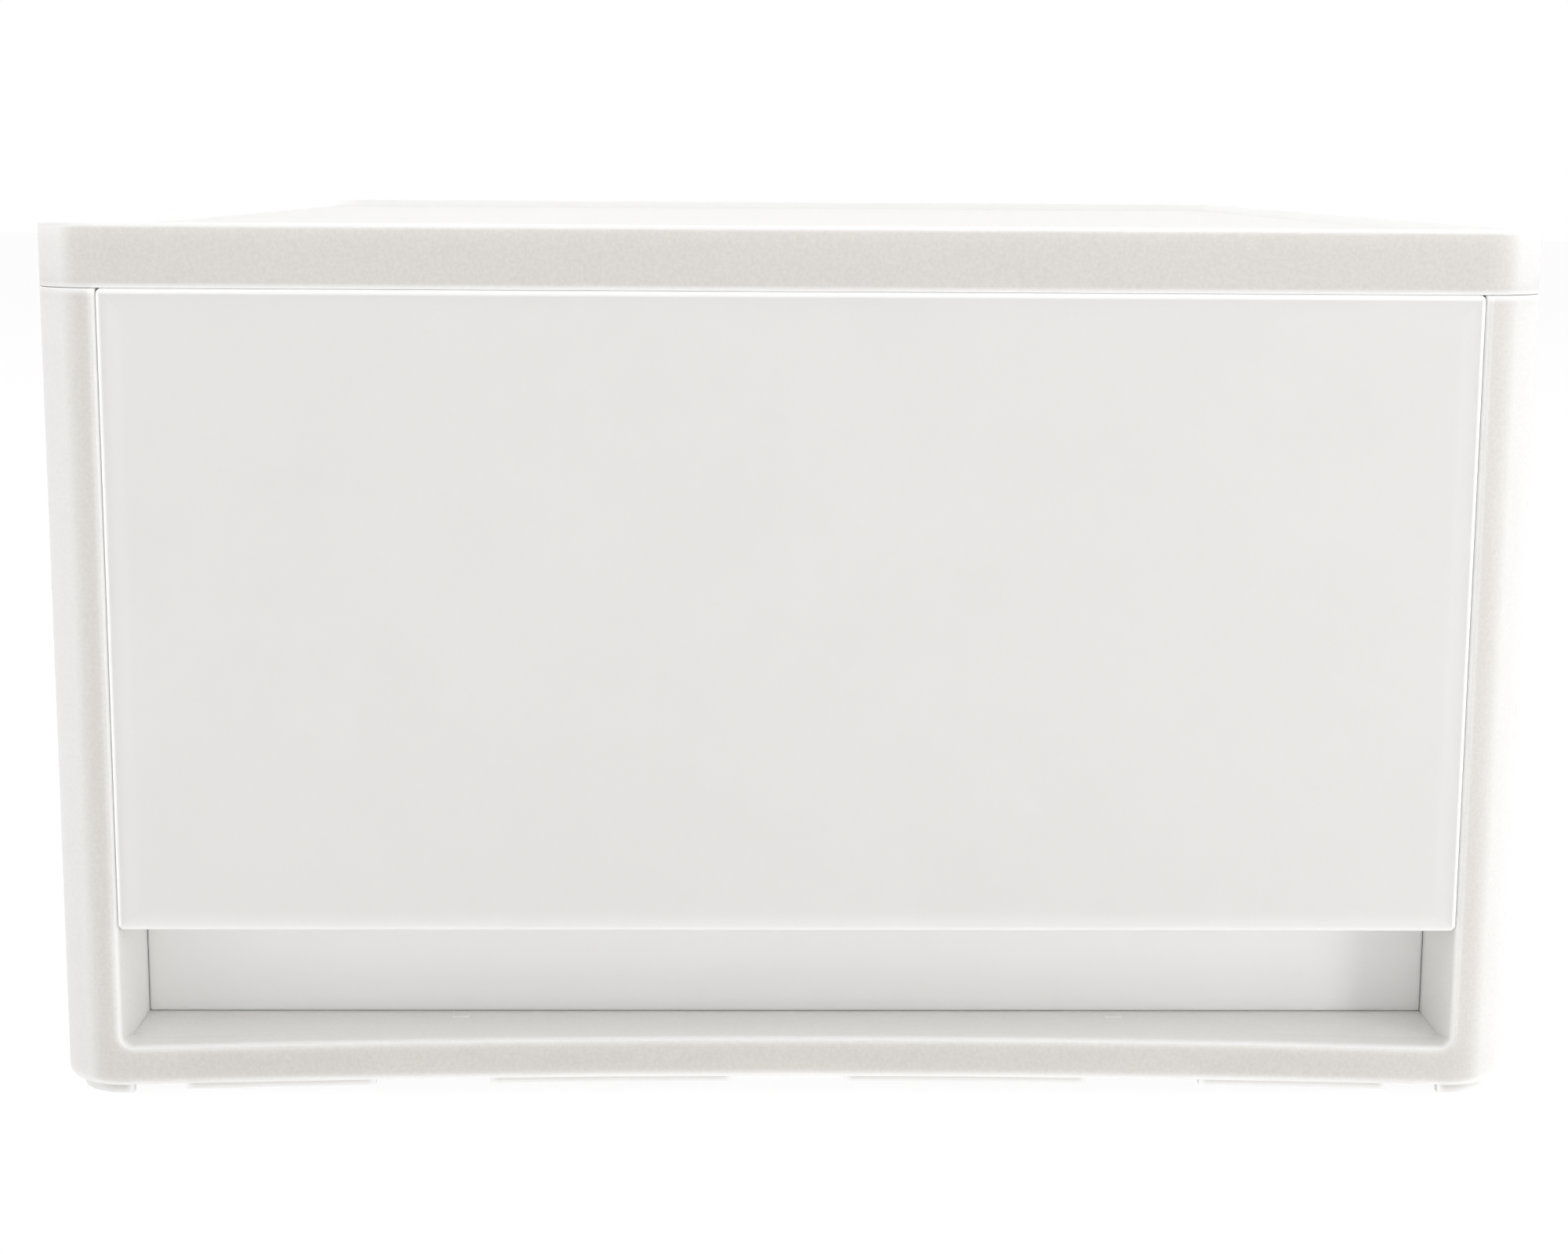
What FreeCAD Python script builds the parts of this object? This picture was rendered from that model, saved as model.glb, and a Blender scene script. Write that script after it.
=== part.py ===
import FreeCAD, Part
import math
import os

# Stackable drawer box in moulded plastic, made of three mouldings:
# an open-topped tub, a cover that laps over its rim, and a drawer.
# Millimetres. The origin is the middle of the base, on the surface
# that the feet stand on. The drawer opens towards -Y, and +Z is up.

V = FreeCAD.Vector

# Overall size
case_width = 260.0
case_depth = 340.0
case_height = 154.0
corner_radius = 11.5
least_radius = 0.4
case_wall = 2.4
case_draft = 0.6
overrun = 5.0
touch = 0.01
pick_slack = 0.4

# Seam between the tub and the cover
cover_band = 10.8
seam_gap = 0.3
tongue_height = 5.0
tongue_wall = 1.0
lap_fit = 0.2
catch_width = 14.0
catch_height = 1.4
catch_rise = 1.9
catch_fit = 0.3
side_catches = 3
back_catches = 2

# Front frame of the tub
post_width = 11.7
post_return = 28.0
return_wall = 2.2
rail_height = 7.1
base_clear = 1.8
rail_step = 0.4
rail_arch = 1.8
sill_lip = 0.3
sill_width = 5.5
opening_corner = 2.0
opening_round = 0.9
base_round = 1.6

# Floor of the tub
floor_wall = 2.2
runner_place = 58.0
runner_width = 3.0
landing_depth = 24.0
slide_fit = 0.3
kerb_wall = 2.0
kerb_height = 12.0
kerb_fit = 0.7
kerb_start = 30.0
gusset_wall = 1.6
gussets = 5
base_rib_wall = 1.8
base_rib_height = 3.4
base_cross_ribs = 3

# Stacking ribs and feet under the floor
ring_inset = 2.5
ring_wall = 2.0
foot_span = 13.0
stack_rib_drop = 1.8
stack_rib_shares = ((0.078, 0.412), (0.568, 0.828))

# Cover
cover_round = 1.0
band_round = 0.6
lip_width = 2.1
lip_slope = 1.2
field_drop = 1.9
cover_panel = 2.2
cover_rib_wall = 1.6
cover_rib_height = 2.4
cover_long_ribs = 3
cover_cross_ribs = 5

# Drawer
side_gap = 0.35
top_gap = 0.3
front_setback = 0.3
front_wall = 2.2
front_round = 0.8
front_corner = 1.0
tray_inset = 1.75
tray_wall = 2.0
tray_floor = 2.2
tray_edge = 1.5
tray_rear_corner = 6.0
inner_round = 3.0
grip_height = 21.4
grip_depth = 15.0
grip_round = 2.6
rear_gap = 3.0
rim_drop = 7.0
rim_sweep = 16.0
bead_height = 2.6
stop_width = 12.0
stop_wall = 3.0
stop_overlap = 3.3
stop_gap = 0.3
travel = 250.0

# Places that follow from the sizes above
half_x = case_width / 2
half_y = case_depth / 2
cover_low = case_height - cover_band
tub_top = cover_low - seam_gap
rail_low = base_clear + rail_step
sill_top = rail_low + rail_height
floor_top = sill_top - sill_lip
floor_low = floor_top - floor_wall
runner_top = sill_top + rail_arch
opening_half = half_x - post_width
field_top = case_height - field_drop
panel_low = field_top - cover_panel
tongue_top = tub_top + tongue_height
tongue_inset = case_wall - tongue_wall

# Places of the drawer when it is shut
front_half = opening_half - side_gap
front_face = front_setback - half_y
front_top = cover_low - top_gap
front_low = sill_top + grip_height
tray_low = runner_top + slide_fit
tray_half = front_half - tray_inset
tray_face = front_face + grip_depth
tray_rear = half_y - case_draft - case_wall - rear_gap
rim_top = front_top - rim_drop


def box(x0, x1, y0, y1, z0, z1):
    """A block between two corners."""
    return Part.makeBox(x1 - x0, y1 - y0, z1 - z0, V(x0, y0, z0))


def both_sides(shapes):
    """Shapes and their mirror images across the middle plane."""
    across = [shape.mirror(V(0, 0, 0), V(1, 0, 0)) for shape in shapes]
    return shapes + across


def joined(shapes):
    """One solid from touching or crossing shapes."""
    return shapes[0].fuse(shapes[1:]).removeSplitter()


def corner_points(before, corner, after, radius):
    """Where a round leaves both lines of a corner, and its middle."""
    first = (before - corner).normalize()
    last = (after - corner).normalize()
    half_turn = first.getAngle(last) / 2
    reach = radius / math.tan(half_turn)
    middle = (first + last).normalize() * (radius / math.sin(half_turn) - radius)
    return corner + first * reach, corner + middle, corner + last * reach


def outline(corners, place):
    """Closed wire through (u, v, radius) corners, laid in a plane by place."""
    points = [place(u, v) for u, v, radius in corners]
    rounds = []
    for index, (u, v, radius) in enumerate(corners):
        after = points[(index + 1) % len(points)]
        rounds.append(corner_points(points[index - 1], points[index], after, radius))
    edges = []
    for index, (start, middle, end) in enumerate(rounds):
        if corners[index][2] > 0:
            edges.append(Part.Arc(start, middle, end).toShape())
        next_start = rounds[(index + 1) % len(rounds)][0]
        edges.append(Part.makeLine(end, next_start))
    return Part.Wire(edges)


def drafted_block(low, high, radius, z0, z1):
    """Block with round upright edges, from its half sizes at both ends."""
    wedge = Part.makeWedge(-low[0], z0, -low[1], -high[1], -high[0],
                           low[0], z1, low[1], high[1], high[0])
    wedge.rotate(V(0, 0, 0), V(1, 0, 0), 90)
    upright = [edge for edge in wedge.Edges if edge.BoundBox.ZLength > (z1 - z0) / 2]
    return wedge.makeFillet(max(radius, least_radius), upright)


def case_block(inset, z0, z1, narrowing=0.0):
    """The case's outline between two heights, narrower at its lower end."""
    high = (half_x - inset, half_y - inset)
    low = (high[0] - narrowing, high[1] - narrowing)
    return drafted_block(low, high, corner_radius - inset, z0, z1)


def front_slab(edges, y0, y1):
    """A closed line in the front view, carried from y0 to y1."""
    face = Part.Face(Part.Wire(edges))
    return face.extrude(V(0, y1 - y0, 0))


def arch(half_span, z, rise, y):
    """The bowed line of the front rail, seen from the front."""
    return Part.Arc(V(-half_span, y, z), V(0, y, z + rise), V(half_span, y, z)).toShape()


def below_arch(drop, y0, y1):
    """What lies under the bowed lower edge of the front rail."""
    span = half_x - foot_span
    z = rail_low - drop
    left, right = V(-span, y0, z), V(span, y0, z)
    low_left, low_right = V(-span, y0, z - overrun), V(span, y0, z - overrun)
    edges = [arch(span, z, rail_arch, y0), Part.makeLine(right, low_right)]
    edges += [Part.makeLine(low_right, low_left), Part.makeLine(low_left, left)]
    return front_slab(edges, y0, y1)


def front_opening(y0, y1):
    """The drawer opening: straight posts, round corners and a bowed sill."""
    top = tongue_top + overrun
    level = opening_half - opening_corner
    turn_x = level + opening_corner * math.sqrt(0.5)
    turn_z = sill_top + opening_corner * (1 - math.sqrt(0.5))
    post_low = sill_top + opening_corner
    left_low, left_high = V(-opening_half, y0, post_low), V(-opening_half, y0, top)
    right_low, right_high = V(opening_half, y0, post_low), V(opening_half, y0, top)
    left_round = Part.Arc(left_low, V(-turn_x, y0, turn_z), V(-level, y0, sill_top))
    right_round = Part.Arc(V(level, y0, sill_top), V(turn_x, y0, turn_z), right_low)
    edges = [left_round.toShape(), arch(level, sill_top, rail_arch, y0), right_round.toShape()]
    edges.append(Part.makeLine(right_low, right_high))
    edges.append(Part.makeLine(right_high, left_high))
    edges.append(Part.makeLine(left_high, left_low))
    return front_slab(edges, y0, y1)


def rounded_opening(frame):
    """Round the front edges of the posts and the sill."""
    edges = []
    for edge in frame.Edges:
        bounds = edge.BoundBox
        on_front = bounds.YMax < pick_slack - half_y
        widest = max(-bounds.XMin, bounds.XMax)
        above_sill = bounds.ZMin > sill_top - pick_slack
        below_top = bounds.ZMin < tub_top - pick_slack
        if on_front and widest < opening_half + pick_slack and above_sill and below_top:
            edges.append(edge)
    return frame.makeFillet(opening_round, edges)


def make_walls():
    """Outer walls, floor and front frame, with the openings cut out."""
    shell = case_block(0, base_clear, tub_top)
    rim = [edge for edge in shell.Edges if edge.BoundBox.ZMax < base_clear + pick_slack]
    shell = shell.makeFillet(base_round, rim)
    shell = shell.cut(case_block(case_wall, floor_top, tub_top, case_draft))
    shell = shell.cut(case_block(case_wall, base_clear - overrun, floor_low))
    sill = box(-opening_half, opening_half, case_wall / 2 - half_y, sill_width - half_y,
               floor_low, sill_top + rail_arch + opening_corner)
    shell = joined([shell, sill])
    shell = shell.cut(below_arch(0, -half_y - overrun, sill_width - half_y))
    shell = shell.cut(front_opening(-half_y - overrun, sill_width - half_y + overrun))
    return rounded_opening(shell)


def catch_places():
    """Middle and direction of each snap catch round the rim."""
    places = []
    for index in range(side_catches):
        y = case_depth * ((index + 1) / (side_catches + 1) - 0.5)
        places += [(V(-half_x, y, 0), V(1, 0, 0)), (V(half_x, y, 0), V(-1, 0, 0))]
    for index in range(back_catches):
        x = case_width * ((index + 1) / (back_catches + 1) - 0.5)
        places.append((V(x, half_y, 0), V(0, -1, 0)))
    return places


def catch_block(middle, inwards, near, far, spare):
    """A block for one catch, from near to far inside the outer face."""
    across = V(inwards.y, inwards.x, 0) * (catch_width / 2 + spare)
    ends = [middle + inwards * near - across, middle + inwards * far + across]
    xs = sorted(end.x for end in ends)
    ys = sorted(end.y for end in ends)
    low = tub_top + catch_rise
    return box(xs[0], xs[1], ys[0], ys[1], low - spare, low + catch_height + spare)


def make_tongue():
    """The thin rim that stands inside the cover, with a slot per catch."""
    rim = case_block(tongue_inset, tub_top - tongue_wall, tongue_top)
    rim = rim.cut(case_block(case_wall, tub_top - overrun, tongue_top + overrun))
    rim = rim.cut(front_opening(-half_y - overrun, post_return - half_y))
    slots = [catch_block(*place, 0, case_wall + overrun, catch_fit) for place in catch_places()]
    return rim.cut(slots)


def landing_section(y, top, crown):
    """The landing's outline across the box at one depth, under its top line."""
    low = floor_top - floor_wall / 2
    level = opening_half - opening_corner
    left = [V(-opening_half, y, low), V(-opening_half, y, top), V(-level, y, top)]
    right = [V(level, y, top), V(opening_half, y, top), V(opening_half, y, low)]
    edges = [Part.makeLine(left[0], left[1]), Part.makeLine(left[1], left[2]), crown]
    edges += [Part.makeLine(right[0], right[1]), Part.makeLine(right[1], right[2])]
    return Part.Wire(edges + [Part.makeLine(right[2], left[0])])


def make_landing():
    """The raised step inside the opening: bowed like the sill, then level."""
    front, back = sill_width - half_y, tray_face
    level = opening_half - opening_corner
    bowed = landing_section(front, sill_top, arch(level, sill_top, rail_arch, front))
    straight = Part.makeLine(V(-level, back, runner_top), V(level, back, runner_top))
    flat = landing_section(back, runner_top, straight)
    ramp = Part.makeLoft([bowed, flat], True, True)
    block = box(-opening_half, opening_half, back, landing_depth - half_y,
                floor_top - floor_wall / 2, runner_top)
    return [ramp, block]


def make_cheeks():
    """The splayed sides of the finger recess, which guide the drawer's tray."""
    near, far = (opening_half, case_wall / 2 - half_y), (tray_half + side_gap, tray_face)
    back, out = post_return - half_y, opening_half + return_wall / 2
    plan = [near, far, (far[0], back), (out, back), (out, near[1])]
    low, high = floor_top - floor_wall / 2, front_low - top_gap
    face = Part.Face(outline([(x, y, 0) for x, y in plan], lambda u, v: V(u, v, low)))
    return both_sides([face.extrude(V(0, 0, high - low))])


def make_floor_details():
    """Returns behind the posts, runners, kerbs and their gussets."""
    inner_front = case_wall / 2 - half_y
    inner_side = half_x - case_wall / 2
    inner_back = half_y - case_wall / 2
    floor_mid = floor_top - floor_wall / 2
    return_out = opening_half + return_wall
    return_end = post_return - half_y
    right = [box(opening_half, return_out, inner_front, return_end, floor_mid, tub_top)]
    right.append(box(runner_place, runner_place + runner_width, landing_depth / 2 - half_y,
                     inner_back, floor_mid, runner_top))
    kerb_in = tray_half + kerb_fit
    kerb_top = floor_top + kerb_height
    start = kerb_start - half_y
    right.append(box(kerb_in, kerb_in + kerb_wall, start, inner_back, floor_mid, kerb_top))
    pitch = (inner_back - start) / gussets
    for index in range(gussets):
        y = start + pitch * index
        right.append(box(kerb_in, inner_side, y, y + gusset_wall, floor_mid, kerb_top))
    return both_sides(right)


def make_base_ribs():
    """Stiffening ribs under the floor."""
    low = floor_low - base_rib_height
    top = floor_top - floor_wall / 2
    inner_side = half_x - case_wall / 2
    inner_back = half_y - case_wall / 2
    rib_out = runner_place + base_rib_wall
    ribs = both_sides([box(runner_place, rib_out, -inner_back, inner_back, low, top)])
    for index in range(base_cross_ribs):
        y = case_depth * ((index + 1) / (base_cross_ribs + 1) - 0.5)
        ribs.append(box(-inner_side, inner_side, y, y + base_rib_wall, low, top))
    return ribs


def make_stack_ribs():
    """Feet round the four corners and the broken ribs between them."""
    top = floor_top - floor_wall / 2
    outer, inner = ring_inset, ring_inset + ring_wall
    ring = case_block(outer, 0, top).cut(case_block(inner, -overrun, top + overrun))
    foot = box(half_x - foot_span, half_x, half_y - foot_span, half_y, 0, top)
    back_foot = ring.common(foot)
    front_foot = back_foot.mirror(V(0, 0, 0), V(0, 1, 0))
    low = rail_low - stack_rib_drop
    front_ribs = []
    others = []
    for near, far in stack_rib_shares:
        x0, x1 = near * half_x, far * half_x
        front_ribs.append(box(x0, x1, outer - half_y, inner - half_y, low, top))
        others.append(box(x0, x1, half_y - inner, half_y - outer, low, top))
        y0, y1 = near * half_y, far * half_y
        others.append(box(half_x - inner, half_x - outer, y0, y1, low, top))
        others.append(box(half_x - inner, half_x - outer, -y1, -y0, low, top))
    bow = below_arch(stack_rib_drop, -half_y, sill_width - half_y)
    front_ribs = [rib.cut(bow) for rib in front_ribs]
    return both_sides([back_foot, front_foot] + front_ribs + others)


def make_tub():
    """The whole tub, one moulding."""
    pieces = [make_walls(), make_tongue()] + make_landing() + make_cheeks()
    pieces += make_floor_details() + make_base_ribs() + make_stack_ribs()
    return joined(pieces)


def make_cover():
    """The cover: lapped skirt, raised lip, sunk field and ribs below."""
    shell = case_block(0, cover_low, case_height)
    upper = [edge for edge in shell.Edges if edge.BoundBox.ZMin > case_height - pick_slack]
    shell = shell.makeFillet(cover_round, upper)
    lower = [edge for edge in shell.Edges if edge.BoundBox.ZMax < cover_low + pick_slack]
    shell = shell.makeFillet(band_round, lower)
    field = case_block(lip_width, field_top, case_height, lip_slope)
    inside = case_block(case_wall, cover_low - overrun, panel_low)
    lap = case_block(tongue_inset - lap_fit, cover_low - overrun, tongue_top + lap_fit)
    header = box(lap_fit - opening_half, opening_half - lap_fit, -case_depth,
                 case_wall - half_y, cover_low - overrun, case_height)
    shell = shell.cut([field, inside, lap.cut(header)])
    ribs = make_cover_ribs()
    catches = [catch_block(*place, tongue_inset - lap_fit - tongue_wall / 2, case_wall, 0)
               for place in catch_places()]
    return joined([shell] + ribs + catches)


def make_cover_ribs():
    """The grid of ribs under the cover's panel, clear of the tub's rim."""
    inner_x = half_x - case_wall - lap_fit - cover_rib_wall
    inner_y = half_y - case_wall - lap_fit - cover_rib_wall
    low = panel_low - cover_rib_height
    top = panel_low + cover_panel / 2
    ribs = []
    for index in range(cover_long_ribs):
        x = case_width * ((index + 1) / (cover_long_ribs + 1) - 0.5)
        half = cover_rib_wall / 2
        ribs.append(box(x - half, x + half, -inner_y, inner_y, low, top))
    for index in range(cover_cross_ribs):
        y = case_depth * ((index + 1) / (cover_cross_ribs + 1) - 0.5)
        half = cover_rib_wall / 2
        ribs.append(box(-inner_x, inner_x, y - half, y + half, low, top))
    return ribs


def side_view(corners, x0, x1):
    """A block with this outline in the side view, from x0 to x1."""
    face = Part.Face(outline(corners, lambda u, v: V(x0, u, v)))
    return face.extrude(V(x1 - x0, 0, 0))


def front_view(corners, y0, y1):
    """A block with this outline in the front view, from y0 to y1."""
    face = Part.Face(outline(corners, lambda u, v: V(u, y0, v)))
    return face.extrude(V(0, y1 - y0, 0))


def uprights(shape, y):
    """The upright edges of a block at one depth."""
    edges = []
    for edge in shape.Edges:
        bounds = edge.BoundBox
        flat = bounds.XLength < touch and bounds.YLength < touch
        if flat and abs(bounds.YMin - y) < touch:
            edges.append(edge)
    return edges


def level_edges(shape, z):
    """The edges of a block that lie at one height."""
    edges = []
    for edge in shape.Edges:
        bounds = edge.BoundBox
        if bounds.ZLength < touch and abs(bounds.ZMin - z) < touch:
            edges.append(edge)
    return edges


def make_tray_outside():
    """The tray's outer form: a high front stepped out over the recess."""
    back = front_face + front_wall
    corners = [(tray_face, tray_low, 0), (tray_rear, tray_low, 0), (tray_rear, rim_top, 0),
               (back + rim_sweep, rim_top, rim_sweep), (back, front_top, 0),
               (front_face, front_top, 0), (front_face, front_low, 0),
               (tray_face, front_low, grip_round)]
    block = side_view(corners, -tray_half, tray_half)
    block = block.makeFillet(tray_rear_corner, uprights(block, tray_rear))
    block = block.makeFillet(tray_edge, uprights(block, tray_face))
    return block.makeFillet(tray_edge, level_edges(block, tray_low))


def make_tray_cavity():
    """The tray's hollow, one wall inside the outer form and open above."""
    front = front_face + front_wall
    step, rear = tray_face + tray_wall, tray_rear - tray_wall
    low, ledge, high = tray_low + tray_floor, front_low + tray_floor, front_top + overrun
    corners = [(step, low, 0), (rear, low, 0), (rear, high, 0), (front, high, 0),
               (front, ledge, 0), (step, ledge, grip_round + tray_wall)]
    half = tray_half - tray_wall
    block = side_view(corners, -half, half)
    block = block.makeFillet(tray_rear_corner - tray_wall, uprights(block, rear))
    inner_corners = uprights(block, step) + uprights(block, front)
    block = block.makeFillet(inner_round, inner_corners)
    return block.makeFillet(inner_round, level_edges(block, low))


def make_front_plate():
    """The drawer's visible front, with softened edges all round."""
    ends = [(-front_half, front_low), (front_half, front_low),
            (front_half, front_top), (-front_half, front_top)]
    corners = [(x, z, front_corner) for x, z in ends]
    plate = front_view(corners, front_face, front_face + front_wall)
    rim = [edge for edge in plate.Edges if edge.BoundBox.YMax < front_face + touch]
    return plate.makeFillet(front_round, rim)


def make_rim_bead():
    """The thicker rim along the tray's sides and back."""
    low = rim_top - bead_height
    front = front_face + front_wall / 2
    rear, side = tray_rear + tray_inset, front_half
    middle = (front + rear) / 2
    outer = box(-side, side, front, rear, low, rim_top)
    outer = outer.makeFillet(tray_rear_corner + tray_inset, uprights(outer, rear))
    inner_rear, inner_side = tray_rear - tray_wall / 2, tray_half - tray_wall / 2
    inner = box(-inner_side, inner_side, front - overrun, inner_rear,
                low - overrun, rim_top + overrun)
    inner = inner.makeFillet(tray_rear_corner - tray_wall / 2, uprights(inner, inner_rear))
    return outer.cut(inner)


def make_drawer():
    """The drawer: stepped front over a finger recess, tray and stops."""
    tray = make_tray_outside().fuse(make_front_plate()).cut(make_tray_cavity())
    stop_face = case_wall - half_y + travel + stop_gap
    stop_low, stop_high = rim_top - bead_height / 2, cover_low + stop_overlap
    corners = [(stop_face, stop_low, 0), (stop_face + stop_width, stop_low, 0),
               (stop_face + stop_width / 2, stop_high, 0), (stop_face, stop_high, 0)]
    stop = side_view(corners, front_half - stop_wall, front_half)
    return joined([tray, make_rim_bead()] + both_sides([stop]))


SOLIDS = {"case_tub": make_tub, "top_cover": make_cover, "drawer": make_drawer}
os.makedirs("parts", exist_ok=True)
for name, maker in SOLIDS.items():
    shape = maker()
    shape.exportStep("parts/" + name + ".step")
    print(name, shape.isValid(), len(shape.Solids), len(shape.Faces),
          round(shape.Volume), "mm3", shape.optimalBoundingBox())
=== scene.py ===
# %% [markdown]
# # A stackable drawer box in moulded plastic
# The box is three mouldings: an open tub, a cover that laps over its rim,
# and a drawer with a finger recess under its front.
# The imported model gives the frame. Every piece is in metres and stays
# where the frame has it, with +Z up and the drawer opening towards -Y.

import bmesh
import bpy
import numpy as np
from mathutils import Matrix, Vector


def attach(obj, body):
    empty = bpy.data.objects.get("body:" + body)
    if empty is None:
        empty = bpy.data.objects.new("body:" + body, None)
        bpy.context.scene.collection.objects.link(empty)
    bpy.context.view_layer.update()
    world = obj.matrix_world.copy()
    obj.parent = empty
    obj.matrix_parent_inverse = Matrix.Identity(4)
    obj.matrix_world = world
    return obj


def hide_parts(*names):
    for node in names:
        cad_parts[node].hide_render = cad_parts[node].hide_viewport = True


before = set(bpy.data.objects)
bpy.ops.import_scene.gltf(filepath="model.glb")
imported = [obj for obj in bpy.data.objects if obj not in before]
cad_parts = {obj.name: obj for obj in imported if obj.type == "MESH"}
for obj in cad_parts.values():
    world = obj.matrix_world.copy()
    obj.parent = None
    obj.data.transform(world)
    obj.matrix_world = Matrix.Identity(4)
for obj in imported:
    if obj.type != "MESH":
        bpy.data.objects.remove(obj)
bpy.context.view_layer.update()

MM = 0.001

# %% [markdown]
# ## The camera
# A camera is a place, a direction and a focal length. The upright edges of
# the box lean inwards towards the base in the picture, so the camera looks
# slightly down, and it stands a little left of the middle. Its matrix is
# built from three axes at right angles, because Euler angles hide the roll.

# %% Camera
def camera_matrix(place, pitch_down, yaw_right, roll):
    """Axes from angles: forward turns by yaw, dips by pitch, then the picture rolls."""
    pitch, yaw, turn = np.radians([pitch_down, yaw_right, roll])
    forward = np.array([np.sin(yaw) * np.cos(pitch), np.cos(yaw) * np.cos(pitch), -np.sin(pitch)])
    right = np.array([np.cos(yaw), -np.sin(yaw), 0.0])
    down = np.cross(forward, right)
    across = np.cos(turn) * right - np.sin(turn) * down
    up = -(np.sin(turn) * right + np.cos(turn) * down)
    matrix = np.eye(4)
    matrix[:3, 0], matrix[:3, 1], matrix[:3, 2], matrix[:3, 3] = across, up, -forward, place
    return Matrix(matrix.tolist())


camera_data = bpy.data.cameras.new("camera")
camera_data.lens = 61.88
camera_data.sensor_width = 36.0
camera = bpy.data.objects.new("camera", camera_data)
camera.matrix_world = camera_matrix((-0.0098, -0.63045, 0.1635), 9.647, 1.052, 0.353)
bpy.context.scene.collection.objects.link(camera)
bpy.context.scene.camera = camera
print("lens", round(camera_data.lens, 2), "mm")

# %% [markdown]
# ## Meshes from arrays
# A moulding is a closed skin. Each new piece is a grid of points with one
# closed ring per row: the columns run round the piece, the rows run along
# its section. Numpy gives all the points at once, and one index pattern
# joins every ring to the next. A flat cap closes each end.

# %% Grids into meshes
def grid_faces(rows, columns, first):
    """Quads join ring j to j+1 and column i to i+1, the last column to the first; caps close the ends."""
    j, i = np.meshgrid(np.arange(rows - 1), np.arange(columns), indexing="ij")
    beside = (i + 1) % columns
    quads = np.stack([j * columns + i, j * columns + beside,
                      (j + 1) * columns + beside, (j + 1) * columns + i], axis=-1)
    low_cap = np.arange(columns)[::-1] + first
    high_cap = np.arange(columns) + first + (rows - 1) * columns
    return (quads.reshape(-1, 4) + first).tolist() + [low_cap.tolist(), high_cap.tolist()]


def skin(name, *grids, sharp_angle=38, values=None):
    """One mesh from ring grids in millimetres; faces turn outwards, soft corners shade smooth."""
    points, faces = [], []
    for grid in grids:
        rows, columns, _ = grid.shape
        faces += grid_faces(rows, columns, sum(len(part) for part in points))
        points.append(grid.reshape(-1, 3))
    mesh = bpy.data.meshes.new(name)
    mesh.from_pydata((np.concatenate(points) * MM).tolist(), [], faces)
    for label, numbers in (values or {}).items():
        layer = mesh.attributes.new(label, "FLOAT", "POINT")
        layer.data.foreach_set("value", np.asarray(numbers, dtype=np.float32).ravel())
    work = bmesh.new()
    work.from_mesh(mesh)
    bmesh.ops.recalc_face_normals(work, faces=work.faces)
    volume = work.calc_volume()
    work.to_mesh(mesh)
    work.free()
    mesh.shade_smooth()
    mesh.set_sharp_from_angle(angle=np.radians(sharp_angle))
    piece = bpy.data.objects.new(name, mesh)
    bpy.context.scene.collection.objects.link(piece)
    print(name, len(mesh.vertices), "points,", round(volume / MM ** 3), "mm3")
    return piece


print("a grid of 3 rings with 4 points each has", len(grid_faces(3, 4, 0)), "faces")

# %% [markdown]
# A moulding has no sharp corner: the tool is cut with small radii so that the
# melt flows and the part comes free. One helper rounds the corners of a
# section, and one gives rounded rectangles that shrink inwards. Both take
# whole arrays, so a full section is one call.

# %% Rounded lines and rounded rectangles
def unit(vector):
    """The vector divided by its own length."""
    return vector / np.linalg.norm(vector)


def rounded_line(corners, steps=6):
    """Open line through (a, b, radius) corners; an arc leaves each side at radius / tan(half the angle)."""
    spots = np.array([corner[:2] for corner in corners], dtype=float)
    parts = [spots[:1]]
    for before, spot, after, corner in zip(spots, spots[1:], spots[2:], corners[1:]):
        radius = corner[2]
        if radius == 0:
            parts.append(spot[None])
            continue
        back, ahead = unit(before - spot), unit(after - spot)
        half = np.arccos(np.clip(back @ ahead, -1, 1)) / 2
        middle = spot + unit(back + ahead) * radius / np.sin(half)
        start = unit(spot + back * radius / np.tan(half) - middle)
        end = unit(spot + ahead * radius / np.tan(half) - middle)
        swing, share = np.pi - 2 * half, np.linspace(0, 1, steps)[:, None]
        arc = (np.sin((1 - share) * swing) * start + np.sin(share * swing) * end) / np.sin(swing)
        parts.append(middle + radius * arc)
    parts.append(spots[-1:])
    return np.concatenate(parts)


def rounded_rectangle(half_a, half_b, radius, steps=9, extra=()):
    """Rows of rings: each corner's centre is one radius inside, and its quarter turns about it.

    Extra columns stand on the side with negative b, at the given values of a.
    """
    half_a, half_b, radius = [np.atleast_1d(v).astype(float)[:, None] for v in (half_a, half_b, radius)]
    turn = (np.arange(4)[:, None] * np.pi / 2 + np.linspace(0, np.pi / 2, steps)).ravel()
    sign_a, sign_b = np.repeat([1, -1, -1, 1], steps), np.repeat([1, 1, -1, -1], steps)
    a = sign_a * (half_a - radius) + radius * np.cos(turn)
    b = sign_b * (half_b - radius) + radius * np.sin(turn)
    if len(extra):
        at = [3 * steps] * len(extra)
        a = np.insert(a, at, np.clip(extra, radius - half_a, half_a - radius), axis=1)
        b = np.insert(b, at, np.repeat(-half_b, len(extra), axis=1), axis=1)
    return a, b


square_corner = rounded_line([(0, 0, 0), (5, 0, 2), (5, 5, 0)], steps=3)
print("a square corner with a radius of 2 runs through", square_corner.round(2).tolist())

# %% [markdown]
# ## The cover
# The cover is one moulding: a skirt that laps outside the tub's rim, a lip
# round the top, and a field sunk inside the lip for the feet of a second
# box. A section runs from the middle of the field over the lip, down the
# skirt and back under the panel, and it is carried round the rounded
# rectangle. In front the skirt is thick, because the drawer leaves no rim
# to lap there, so the section's inner part moves out along those columns.

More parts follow.
